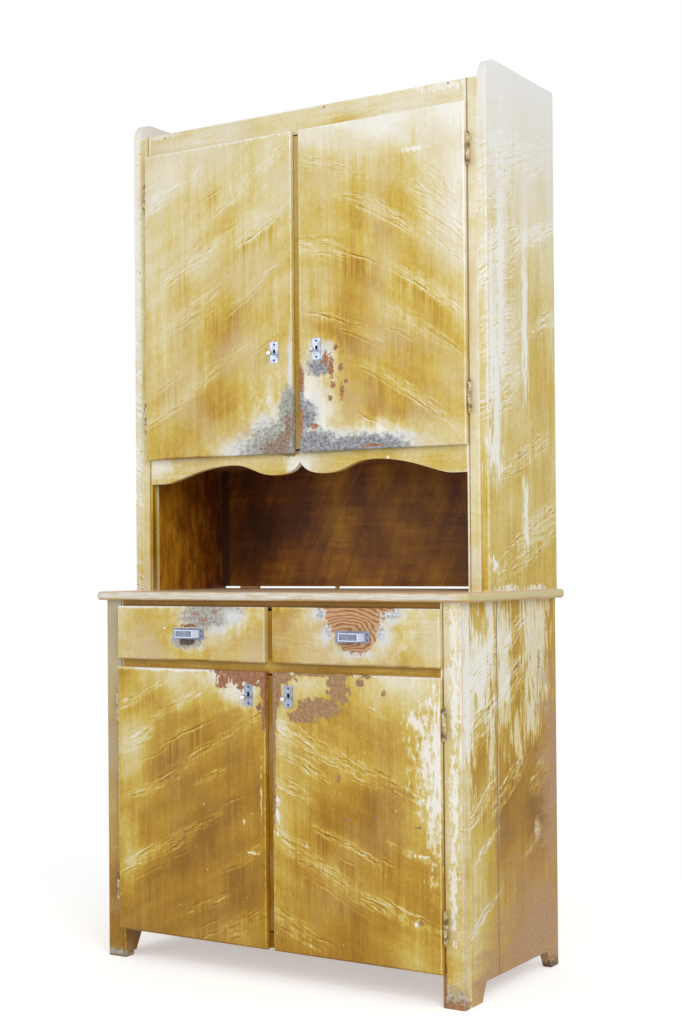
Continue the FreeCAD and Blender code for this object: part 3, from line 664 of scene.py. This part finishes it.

# %% [markdown]
# The frame of each case is combed along its boards and hardly feathered. Posts and stiles are combed
# upright, and rails and the valance across. The lower left post turns greyer towards its top.

# %% Frames

FRAMES = {
    "lower_post_left": dict(
        seed=61, tone=(0.90, 0.44), feather=0.3, edge=4, dirt_and_painted_light=("#AFA491", -0.10, 0.80),
        worn=[("grey", mm("20 -6 60 26"), "#C9C4B8", "#8C857B"),
              ("rust", mm("25 -4 60 14"), "#A08264", "#7C6148")], seams=((44.4, "#6A5230"),)),
    "lower_post_right": dict(
        seed=62, tone=(0.50, 0.24), feather=0.5, edge=5, milk=0.10, seams=((5.6, "#7A5526"), (50, "#B89C82")),
        bare=mm("32 640 13 160, 30 430 13 130, 26 250 12 130, 30 780 14 70"), combed=mm("68 660 26 190"),
        worn=[("grey", mm("25 -10 60 60"), "#CFC6B6", "#9A8468"),
              ("wood", mm("25 -12 60 34, 0 60 9 90, 0 110 6 60"), "#B58A62", "#93683F")]),
    "upper_stile_left": dict(
        seed=63, tone=(0.34, 0.40), feather=0.2, edge=4, seams=((24.4, "#8C6E40"),),
        shades={0.9: mm("35 60 16 420")}),
    "upper_stile_right": dict(seed=64, tone=(0.28, 0.19), feather=0.2, edge=4, seams=((5.6, "#8A6434"),)),
    # The dark colour that grows towards the foot of the lower top rail is painted shade, in the gap above the
    # drawers under the worktop.
    "lower_top_rail": dict(
        seed=65, tone=(1.00, 0.92), feather=0.0, upright=False, milk=0.0, dirt_and_painted_light=("#1C1206", 1.0, -0.6)),
    "lower_middle_rail": dict(seed=66, tone=(0.72, 0.66), feather=0.0, upright=False, milk=0.05, comb=0.7),
    "lower_bottom_rail": dict(seed=67, tone=(0.92, 0.88), feather=0.0, upright=False, milk=0.05),
    "drawer_muntin": dict(seed=68, tone=(0.80, 0.80), feather=0.0, milk=0.05),
    "upper_top_rail": dict(
        seed=69, tone=(0.32, 0.24), feather=0.3, slope=0.2, upright=False, edge=4,
        bare=mm("30 50 60 6, 800 46 70 10")),
    "valance": dict(
        seed=70, tone=(0.44, 0.44), feather=0.15, upright=False, edge=3, comb=0.5,
        halo=mm("16 40 60 50, 425 30 46 30"), bare=mm("425 24 16 14, 656 38 6 6"),
        worn=[("wood", mm("392 58 30 7"))]),
    "lower_closing_strip": dict(seed=71, tone=(0.86, 0.76), feather=0.0),
    "upper_closing_strip": dict(seed=72, tone=(0.62, 0.48), feather=0.0),
}
for name, look in FRAMES.items():
    grained(f"combed_oil_glaze_{name}", name, look)
print("combed frame boards:", len(FRAMES))

# %% [markdown]
# The sides are wide boards with bold feathers. The lower right one is worn to large cream areas, and shows
# the joint of its two boards. Its pattern starts at the front of the post, so that it runs on across the
# joint between them. The inner faces are other finishes: bare pine in the cupboards, dark glaze in the niche.

# %% Sides

SIDES = {
    "lower_side_right": dict(
        looks="right", start="lower_post_right", seed=81, tone=(0.66, 0.66), slope=0.55, feather=2.0, edge=3,
        banks=0.16, milk=0.04, comb=0.44, polish=0.18, seams=((154, "#6B564A"), (156, "#8A7464")), rarity=0.75,
        bundles=mm("100 700 90 50, 90 590 90 50, 240 660 60 50, 220 440 90 40, 60 400 120 24, 370 440 60 40, "
            "100 320 80 14, 60 160 120 14, 240 760 60 30, 330 300 50 20"),
        creased=mm("80 412 90 0.6, 100 545 60 0.7, 230 455 60 0.6, 100 640 60 0.6, 240 700 40 0.7"),
        shades={0.34: mm("320 370 190 190, 200 380 70 160"), -0.26: mm("50 200 130 330, 60 680 90 220")},
        combed=mm("30 640 30 200, 80 690 60 110, 188 690 44 190, 345 730 80 170, 252 540 26 64, 318 570 46 60, "
            "126 760 22 140, 128 540 20 90"),
        worn=[("stain", mm("350 60 300 220, 440 420 90 300, 140 10 160 120")),
              ("white", mm("157 430 5 160"), "#DDD0C0", "#C4B09C"),
              ("rust", mm("348 320 22 30, 360 690 9 36"), "#BDA888", "#A58D6C"),
              ("white", mm("345 322 16 26"), "#E3D3AC", "#C79A62"),
              ("rust", mm("420 -6 60 34"), "#8A6F58", "#4A3A2E")]),
    "lower_side_left": dict(
        looks="left", start="lower_post_left", seed=83, tone=(0.70, 0.60), slope=0.55, feather=1.8, edge=3,
        banks=0.16, milk=0.04, comb=0.44, polish=0.18, seams=((154, "#6B564A"), (156, "#8A7464")), rarity=0.75,
        combed=mm("120 690 30 150, 300 700 50 150, 210 620 26 90"),
        worn=[("stain", mm("300 60 300 220, 440 420 90 300"))]),
    "upper_side_right": dict(
        looks="right", seed=85, tone=(0.54, 0.16), slope=0.38, feather=1.1, banks=0.10, comb=0.50, edge=5,
        milk=0.12,
        bundles=mm("60 560 110 90, 60 900 120 90, 60 420 110 60, 60 720 120 80, 160 285 160 30, "
            "200 110 190 60, 250 790 120 26, 280 590 80 26, 230 960 120 50"),
        creased=mm("260 790 80 0.5, 150 292 110 0.5, 200 95 110 0.5, 280 590 40 0.5"),
        shades={-0.16: mm("50 620 110 420"), 0.16: mm("250 480 110 320, 20 820 40 160, 120 760 60 200")},
        # The near-white that grows towards the top of this side is painted light, the brighter light high on the
        # case.
        dirt_and_painted_light=("#E8E8E8", -2.0, 0.85),
        combed=mm("179 600 18 200, 177 150 16 100, 40 400 20 160, 64 640 16 220, 18 560 9 200, 30 300 34 50"),
        bare=mm("24 60 24 24, 90 4 70 12, 220 4 70 10")),
    "upper_side_left": dict(
        looks="left", seed=87, tone=(0.54, 0.18), slope=0.50, feather=1.8, banks=0.14, comb=0.50, edge=5,
        milk=0.12, shades={-0.3: mm("-9 560 20 1200")}, combed=mm("150 700 12 260, 70 450 30 170")),
}
niche_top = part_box("upper_floor_board")[0].z
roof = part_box("upper_top_rail")[1].z
for name, look in SIDES.items():
    low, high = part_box(name)
    inside = ("X", high.x - 0.3 * MM, True) if name.endswith("left") else ("X", low.x + 0.3 * MM, False)
    look.update(inside=inside, ceiling=niche_top if "upper" in name else 0.0, niche=(-0.38, 0.26), horn=roof)
    grained(f"feathered_oil_glaze_{name}", name, look)
print("feathered sides:", len(SIDES))


# %% [markdown]
# The boards inside are the same bare pine, with the heart of the tree under each board's face, so the rings
# show as long arches.

# %% Pine boards


def pine(name, node, looks="front", upright=True, **colours):
    """Bare planed pine, with rings 12 times longer along the board than across it."""
    material, add = new_material(name)
    face = face_of(add, node, looks)
    heart, squash = ((60 * MM, 500 * MM), (1.0, 12.0)) if upright else ((300 * MM, 60 * MM), (12.0, 1.0))
    colour, grain = planed(add, face["at"], heart, squash, (len(node), len(node)), upright, **colours)
    close(add, colour, grain, 0.2 * MM, Roughness=0.62, IOR=1.5)
    cover(material, node)


INSIDE = {"lower_floor_board": ("top", False), "lower_shelf": ("top", False), "upper_shelf": ("top", False),
          "upper_roof_board": ("top", False),
          "drawer_runner_left": ("right", False), "drawer_runner_right": ("right", False),
          "drawer_runner_middle": ("right", False), "drawer_box_left": ("right", False),
          "drawer_box_right": ("right", False), "drawer_bottom_left": ("top", True),
          "drawer_bottom_right": ("top", True), "lower_back_panel": ("back", True), "back_blocks": ("front", False)}
for name, (looks, upright) in INSIDE.items():
    pine(f"planed_pine_{name}", name, looks, upright)
print("pine boards:", len(INSIDE))

# %% [markdown]
# The niche is glazed dark. Its back panel is brushed across, and goes from red-brown at the left to olive in
# the middle. The panel's rear face is the same bare pine as the boards inside.

# %% Niche

grained("dark_glaze_upper_back_panel", "upper_back_panel", dict(
    seed=90, tone=(0.52, 0.56), slope=2.2, feather=0.6, upright=False, clouds=1.0, comb=0.6, ramp=SHADED, milk=0.0,
    # The darker band down the left end of the back panel, the 0.9 shade 22 mm either side of a line 4 mm in, is
    # painted shade in the corner against the left wall.
    shades={0.40: [(60, 150, 300, 300)], -0.10: [(480, 130, 200, 260)], 0.9: [(4, 140, 22, 600)]},
    polish=0.20, dirt_and_painted_light=("#94805A", 0.10, 0.06),
    inside=("Y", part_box("upper_back_panel")[1].y - 0.3 * MM), ceiling=0.0, above=niche_top, niche=(0.0, 0.0)))
pine("glazed_niche_ceiling", "upper_floor_board", "top", False, light="#A87040", dark="#5E301A")

# %% [markdown]
# The worktop is a board with a rounded front. Its paint has gone from the top and lasts in bands along the
# edge: bare pinkish wood on the upper arris, cream undercoat in the middle, and ochre glaze below. The bands
# follow height, and noise along the edge makes them wander.

# %% Worktop

material, add = new_material("worn_painted_beech_worktop")
face = face_of(add, "worktop")
parts = add("SeparateXYZ", face["place"]).node
flat = add("CombineXYZ", parts.outputs[0], parts.outputs[1], 0.0)
on_top = soft_step(add, face["v"], face["tall"] - 1.5 * MM, face["tall"] - 0.5 * MM)
fibre = add("MixRGB", on_top, bristles(add, face["at"], 101, upright=False),
            bristles(add, flat, 105, upright=False))
rings = pine_rings(add, flat, (500 * MM, 900 * MM), (9.0, 1.0), 11 * MM, 102)
rings = add("Math:MULTIPLY", rings, add("MapRange", on_top, 0.0, 1.0, 0.5, 0.28))
grain = add("Math:ADD", rings, add("Math:SUBTRACT", fibre, 0.3))
wood = add("MixRGB", grain, paint("#E6CCA8"), paint("#AE8A64"))
ochre = glaze_colour(add, add("Math:ADD", fibre, 0.12))
ochre = add("MixRGB", 0.70, ochre, paint("#C9A67C"))
scratched = soft_step(add, blotches(add, face["at"], 60, 1.6, 104, 4.0, 0.6), 0.40, 0.60)
cream = add("MixRGB", scratched, paint("#E6E3DC"), paint("#CDBF9E"))
cream = add("MixRGB", add("MapRange", face["h"], 0.93, 0.99, 0.0, 0.8), cream, paint("#C9B978"))
wander = blotches(add, face["at"], 120, 16, 103, 6.0, 0.68)
height_up = add("Math:MULTIPLY_ADD", wander, 12 * MM, add("Math:SUBTRACT", face["v"], 6 * MM))
height_up = add("Math:MULTIPLY_ADD", on_top, 12 * MM, height_up)
middle_band = soft_step(add, height_up, 2 * MM, 5 * MM)
upper_band = soft_step(add, height_up, 16.5 * MM, 19 * MM)
colour = add("MixRGB", middle_band, ochre, cream)
colour = add("MixRGB", upper_band, colour, wood)
close(add, colour, fibre, 0.25 * MM, Roughness=0.5, IOR=1.5)
cover(material, "worktop")

# %% [markdown]
# Metal is the simplest finish to get wrong: it has almost no colour of its own, and its look is the way it
# breaks up reflections. Rolled plate is streaked along the roll, so its roughness varies in long lines; a
# turned knob is smooth chrome; and the hinges are iron under the cabinet's own paint, rubbed at the knuckles,
# with pale patches that are partly painted highlights. The bow pulls carry a painted highlight on their rims and a
# painted reflection on their faces.

# %% Metal


def bow_highlight_and_reflection(add, place, colour, low, high, wide, tall):
    """A bow pull, within 4 mm of its front: a painted highlight outside wide and tall (half sizes) from the middle
    of either pull, on the rims of the bow, and a painted reflection, darker and bluer towards the two ends of the
    panel between."""
    middle = (low + high) / 2
    away = add("VectorMath:SUBTRACT", add("VectorMath:ABSOLUTE", place), (middle.x, 0.0, middle.z))
    parts = add("SeparateXYZ", add("VectorMath:ABSOLUTE", away)).node
    ends, rims = (soft_step(add, parts.outputs[axis], half - 0.6 * MM, half + 0.6 * MM)
                  for axis, half in ((0, wide), (2, tall)))
    bow = add("MapRange", add("SeparateXYZ", place, out="Y"), high.y - 3 * MM, high.y - 4 * MM, 0.0, 1.0)
    shade = add("Math:MULTIPLY", add("MapRange", parts.outputs[0], 0.0, wide, 0.0, 0.4), bow)
    bright = add("Math:MULTIPLY", add("Math:MAXIMUM", ends, rims), bow)
    colour = add("MixRGB", shade, colour, paint("#4E566C"))
    return add("MixRGB", bright, colour, paint("#DCE8FF"))


def plated(name, code, roughness, streak, *names, metal=1.0, rubbed=None):
    """Plated steel: metallic, with roughness that varies by a half along fine rolled lines, streak mm in size."""
    material, add = new_material(name)
    place = add("TexCoord", out="Object")
    lines = blotches(add, place, *streak, 7, 3.0)
    tarnish = add("TexNoise", Vector=place, Scale=90.0, Detail=4.0)
    rough = add("Math:MULTIPLY_ADD", lines, roughness, roughness / 2)
    colour = add("MixRGB", add("MapRange", tarnish, 0.45, 0.75, 0.0, 0.7), paint(code), paint("#6F6A66"))
    if rubbed:
        colour = bow_highlight_and_reflection(add, place, colour, *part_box(names[-1]), *rubbed)
    close(add, colour, lines, 0.05 * MM, Metallic=metal, Roughness=rough)
    cover(material, *names)


sides = ("left", "right")
for case, code in (("upper", "#AEB8CE"), ("lower", "#A3ABC0")):
    plated(f"nickel_plated_{case}_latch", code, 0.30, (3, 90), *[f"{case}_latch_plate_{side}" for side in sides])
for name, code, roughness, streak, part in (("oxidised_steel_latch_bolt", "#4E463F", 0.6, (3, 30), "bolt"),
                                            ("polished_chrome_knob", "#E4E6EA", 0.10, (20, 20), "knob")):
    plated(name, code, roughness, streak,
           *[f"{case}_latch_{part}_{side}" for case in ("lower", "upper") for side in sides])
# The bow pull's bright rims are a painted highlight, and its face darkening towards the ends is a painted
# reflection; rubbed gives the half sizes of the face inside the highlight.
plated("nickel_plated_bow_pull", "#8A93AA", 0.34, (90, 2), *[f"drawer_pull_{side}" for side in sides],
       metal=0.45, rubbed=(22.5 * MM, 6.8 * MM))

material, add = new_material("painted_iron_hinge")
place = add("TexCoord", out="Object")
rubbed = add("TexNoise", Vector=place, Scale=160.0, Detail=5.0, Roughness=0.7)
rust = add("TexNoise", Vector=place, Scale=60.0, Detail=4.0)
# Pale patches of #DDD2AE over the paint are partly rubbed paint and partly painted highlights on the barrels.
colour = add("MixRGB", add("MapRange", rubbed, 0.45, 0.6, 0.0, 1.0), paint("#B89A62"),
             paint("#DDD2AE"))
colour = add("MixRGB", add("MapRange", rust, 0.48, 0.62, 0.0, 1.0), colour, paint("#6E4C26"))
close(add, colour, rubbed, 0.15 * MM, Roughness=0.45, IOR=1.5)
cover(material, *[f"{case}_hinge_{part}_halves_{side}" for case in ("lower", "upper")
                  for part in ("frame", "door") for side in sides])

# %% [markdown]
# Screws and nails are small, but without them a latch plate looks glued on. A head is a turned shape: one
# profile swept round an axis, with a slot pressed into it. The profile is an array of radii and heights, and
# the sweep is one multiplication of arrays, so no loop touches a vertex. A box and a cylinder would do the
# same job at this size, but they would catch no light on their rims.

# %% Screws and nails


def turned_head(radius, dome, slot, turn, sides=36, rings=10):
    """Points and faces of a domed head on the plane z = 0: x = r cos a, y = r sin a, and z = dome (1 - (r/R)^2),
    less the slot's depth within half its width of the line at angle turn. The underside is flat."""
    r = np.concatenate([np.linspace(0, 1, rings), [1.0, 0.0]]) * radius
    z = np.concatenate([dome * (1 - np.linspace(0, 1, rings) ** 2), [-0.2 * MM, -0.2 * MM]])
    a = np.linspace(0, 2 * math.pi, sides, endpoint=False)
    x, y = r[1:-1, None] * np.cos(a), r[1:-1, None] * np.sin(a)
    up = np.repeat(z[1:-1, None], sides, 1)
    up[:-1] -= slot * (np.abs(x * math.sin(turn) - y * math.cos(turn))[:-1] < 0.13 * radius)
    ring = np.stack([x, y, up], -1).reshape(-1, 3)
    points = np.vstack([[[0, 0, dome - slot]], ring, [[0, 0, z[-1]]]])
    row, column = np.meshgrid(np.arange(rings - 1), np.arange(sides), indexing="ij")
    after = (column + 1) % sides
    quads = 1 + np.stack([row * sides + column, (row + 1) * sides + column, (row + 1) * sides + after,
                          row * sides + after], -1).reshape(-1, 4)
    first, last, count = np.arange(sides), 1 + (rings - 1) * sides, len(points)
    top = np.stack([0 * first, 1 + first, 1 + (first + 1) % sides], -1)
    base = np.stack([0 * first + count - 1, last + (first + 1) % sides, last + first], -1)
    return points, quads.tolist() + top.tolist() + base.tolist()


def set_heads(name, body, material, places, radius, dome, slot):
    """One piece from many heads, each at (x, y, z) in metres with its slot's angle, facing the front."""
    points, faces = [], []
    for x, y, z, turn in places:
        head, head_faces = turned_head(radius, dome, slot, turn)
        faces += [[k + sum(map(len, points)) for k in one] for one in head_faces]
        points.append(np.stack([x + head[:, 0], y - head[:, 2], z + head[:, 1]], -1))
    mesh = bpy.data.meshes.new(name)
    mesh.from_pydata(np.vstack(points).tolist(), [], faces)
    mesh.polygons.foreach_set("use_smooth", [True] * len(mesh.polygons))
    mesh.update()
    piece = bpy.data.objects.new(name, mesh)
    bpy.context.scene.collection.objects.link(piece)
    mesh.materials.append(material)
    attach(piece, body)


def screw_metal(name, bright, dark):
    """Old screw heads: steel that is bright where a driver has rubbed it, and brown elsewhere."""
    material, add = new_material(name)
    stain = add("TexNoise", Vector=add("TexCoord", out="Object"), Scale=700.0, Detail=4.0)
    share = soft_step(add, stain, 0.38, 0.62)
    colour = add("MixRGB", share, paint(bright), paint(dark))
    close(add, colour, stain, 0.05 * MM, Metallic=0.8, Roughness=add("Math:MULTIPLY_ADD", share, 0.3, 0.35))
    return material


steel = screw_metal("old_steel_screw_head", "#6B7080", "#33302F")
made = 0
for case in ("lower", "upper"):
    for side in sides:
        low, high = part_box(f"{case}_latch_plate_{side}")
        centre = (low + high) / 2
        set_heads(f"{case}_latch_screws_{side}", f"{case}_{side}_door", steel,
                  [(centre.x, low.y, centre.z + step, 0.5 + 37 * step) for step in (-18 * MM, 18 * MM)],
                  2.9 * MM, 0.9 * MM, 0.5 * MM)
        made += 2
for side in sides:
    low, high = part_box(f"drawer_pull_{side}")
    centre = (low + high) / 2
    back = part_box(f"drawer_front_{side}")[0].y - 1.5 * MM
    set_heads(f"drawer_pull_screws_{side}", f"{side}_drawer", steel,
              [(centre.x + across, back, centre.z + step, 40 * across + 90 * step)
               for across in (-36.5 * MM, 36.5 * MM) for step in (-6 * MM, 6 * MM)], 2.2 * MM, 0.7 * MM, 0.4 * MM)
    made += 4
rail_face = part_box("upper_top_rail")[0].y
set_heads("top_rail_nail_heads", "carcase", screw_metal("rusted_wire_nail", "#5F4A38", "#3A2A1E"),
          [(-379.4 * MM, rail_face, 1928.2 * MM, 0), (71.7 * MM, rail_face, 1931.1 * MM, 1),
           (386.0 * MM, rail_face, 1932.7 * MM, 2)], 2.0 * MM, 0.4 * MM, 0.0)
print("heads:", made + 3)

# %% [markdown]
# Both cases are shown with a plain floor, soft lamps and the photograph's view. The camera was found from
# straight edges of the case: its place, its turn and its focal length in pixels of the picture.

# %% Camera

IMAGE_TALL = 1024  # the picture is 682 wide
SENSOR = 36.0
camera_place = Vector((2.0123, -3.1057, 0.9148))
camera_yaw, camera_pitch, camera_roll = 0.56287, 0.00914, -0.00797
focal_pixels = 1610.85
centre_row = 547.19

forward = Vector((-math.sin(camera_yaw) * math.cos(camera_pitch), math.cos(camera_yaw) * math.cos(camera_pitch),
                  math.sin(camera_pitch)))
level = Vector((math.cos(camera_yaw), math.sin(camera_yaw), 0.0))
upright = level.cross(forward)
right = math.cos(camera_roll) * level + math.sin(camera_roll) * upright
above = math.cos(camera_roll) * upright - math.sin(camera_roll) * level
camera = bpy.data.objects.new("camera", bpy.data.cameras.new("camera"))
bpy.context.scene.collection.objects.link(camera)
camera.matrix_world = Matrix((right, above, -forward)).transposed().to_4x4()
camera.location = camera_place
camera.data.sensor_width = SENSOR
camera.data.lens = focal_pixels * SENSOR / IMAGE_TALL
camera.data.shift_y = (centre_row - IMAGE_TALL / 2) / IMAGE_TALL
bpy.context.scene.camera = camera
print("lens", round(camera.data.lens, 2), "mm, shift", round(camera.data.shift_y, 4))

# %% [markdown]
# A white studio is white in two ways: the camera sees a white wall, and the object is lit from all round.
# The Light Path node keeps the two apart, so the wall can be pure white while the light on the paint stays
# at the level where a colour renders as it is written.

# %% Light and floor

AMBIENT = 0.56


def seen_directly(add):
    """1 for camera, mirror and glass rays, and 0 for the rays that light the object."""
    path = add("LightPath").node
    seen = add("Math:MAXIMUM", path.outputs["Is Camera Ray"], path.outputs["Is Glossy Ray"])
    return add("Math:MAXIMUM", seen, path.outputs["Is Transmission Ray"])


world = bpy.data.worlds.new("studio")
add = empty_tree(world)
strength = add("MapRange", seen_directly(add), 0.0, 1.0, AMBIENT, 1.0)
add("OutputWorld", add("Background", paint("#FFFFFF"), strength))
bpy.context.scene.world = world


def softbox(name, place, target, size, watts):
    """A square lamp aimed at a point. Its light falls off as watts / distance^2."""
    lamp = bpy.data.objects.new(name, bpy.data.lights.new(name, "AREA"))
    lamp.data.size, lamp.data.energy = size, watts
    lamp.location = place
    lamp.rotation_euler = (Vector(target) - Vector(place)).to_track_quat("-Z", "Y").to_euler()
    bpy.context.scene.collection.objects.link(lamp)


middle = (cad_box[0] + cad_box[1]) / 2
softbox("window", (3.0, -2.9, 2.9), (middle.x, middle.y, 1.4), 2.4, 90)
softbox("fill", (-2.2, -3.2, 1.7), (middle.x, middle.y, 1.1), 2.2, 16)


def floor_sheet(half, steps):
    """A square grid on the floor: (half s, half t, 0) for s and t from -1 to 1."""
    s, t = np.meshgrid(np.linspace(-1, 1, steps), np.linspace(-1, 1, steps))
    points = np.stack([half * s, half * t, 0 * s], -1).reshape(-1, 3)
    corner = (np.arange(steps - 1)[:, None] * steps + np.arange(steps - 1)).reshape(-1, 1)
    faces = corner + np.array([0, 1, steps + 1, steps])
    mesh = bpy.data.meshes.new("studio_floor")
    mesh.from_pydata(points.tolist(), [], faces.tolist())
    return bpy.data.objects.new("studio_floor", mesh)


floor = floor_sheet(30.0, 9)
bpy.context.scene.collection.objects.link(floor)
material, add = new_material("matt_white_floor_paint")
away = add("VectorMath:LENGTH", add("TexCoord", out="Object"), out="Value")
seen = seen_directly(add)
fade = add("MapRange", away, 0.8, 1.8, 0.0, 1.0, interpolation_type="SMOOTHSTEP")
fade = add("Math:MULTIPLY", fade, seen)
matt = add("BsdfDiffuse", paint("#F4F4F3"))
glow = add("Emission", paint("#FFFFFF"), add("Math:MULTIPLY", seen, 0.42))
lifted = add("AddShader", matt, glow)
white = add("Emission", paint("#FFFFFF"), 1.0)
add("OutputMaterial", add("MixShader", fade, lifted, white))
floor.data.materials.append(material)

scene = bpy.context.scene
scene.view_settings.view_transform = "Standard"
